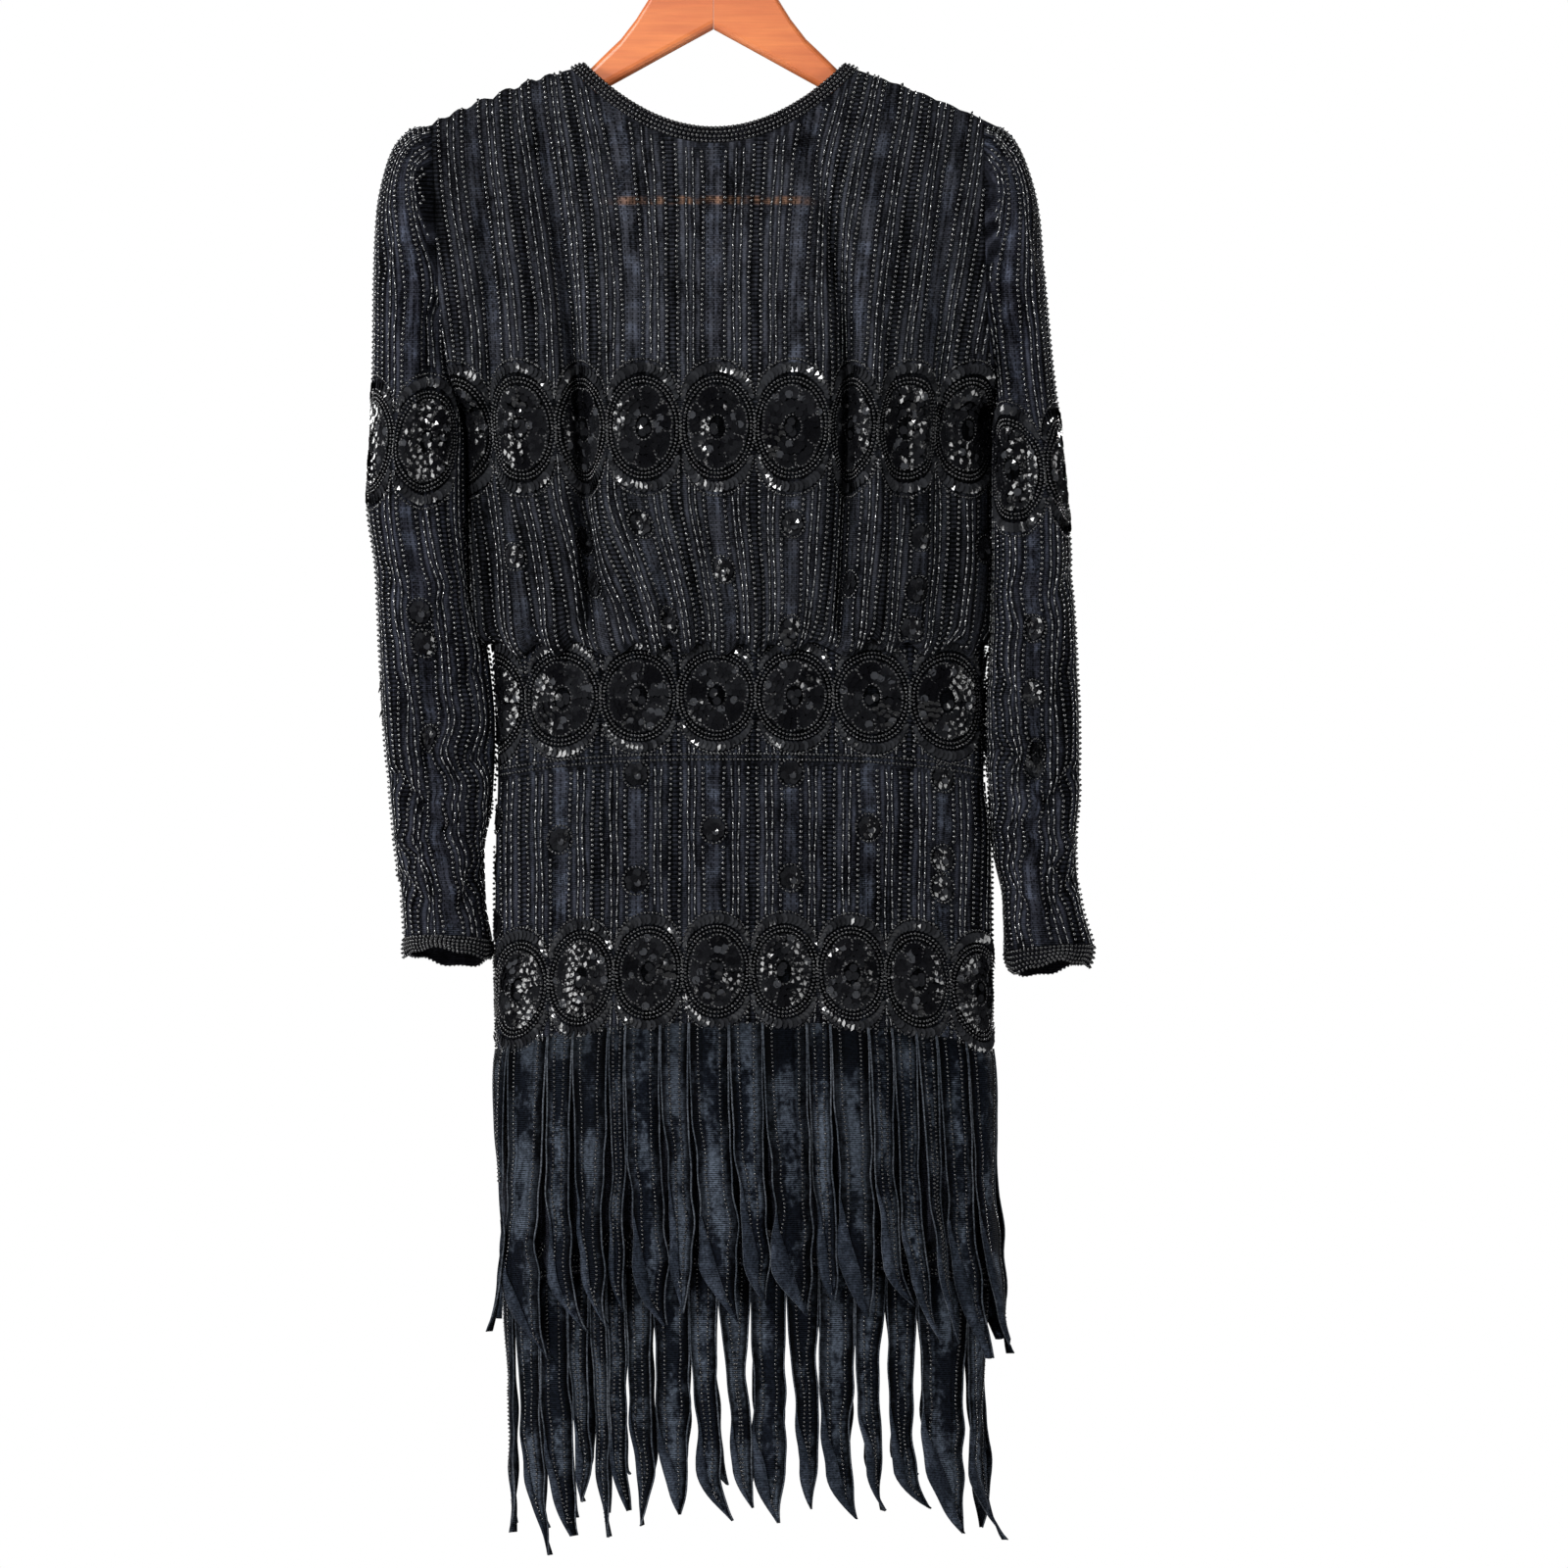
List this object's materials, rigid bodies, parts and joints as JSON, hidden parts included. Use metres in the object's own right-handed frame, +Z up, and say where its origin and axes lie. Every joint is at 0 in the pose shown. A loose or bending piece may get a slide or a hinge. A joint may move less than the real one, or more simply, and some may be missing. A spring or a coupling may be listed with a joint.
{
  "type": "beaded flapper dress on a wooden hanger",
  "caption": "Long-sleeved scoop-neck evening dress with beaded bands and tiers of pointed strips, hung on a wooden clothes hanger by its wire hook.",
  "frame": {"origin": "underside of the hook's arch, where the hanger rests on a rail", "axes": "+Z up along the hanging dress, front of the dress towards -Y, +X towards the right as seen from the front"},
  "size_m": [0.5324, 0.1217, 1.2378],
  "materials": {
    "bead_net": "sheer black net covered with stripes of glossy black beads",
    "strip_cloth": "soft satin-woven black with rows of beads",
    "bead_band": "rows of glossy black seed beads",
    "button_cloth": "satin-covered",
    "wood": "clear satin varnish on warm beech",
    "steel": "polished"
  },
  "bodies": {
    "root": {"bodice_front": "bead_net", "bodice_back_left": "bead_net", "bodice_back_right": "bead_net", "neck_binding": "bead_band", "neck_button": "button_cloth", "neck_loop": "button_cloth", "sleeve_left": "bead_net", "sleeve_right": "bead_net", "wrist_binding_left": "bead_band", "wrist_binding_right": "bead_band", "waistband_front": "bead_net", "waistband_back": "bead_net", "skirt_front": "bead_net", "skirt_back": "bead_net", "upper_tier_front": "strip_cloth", "upper_tier_back": "strip_cloth", "lower_tier_front": "strip_cloth", "lower_tier_back": "strip_cloth", "hanger_arm_left": "wood", "hanger_arm_right": "wood", "hanger_bar": "wood", "hanger_hook": "steel"}
  },
  "joints": []
}
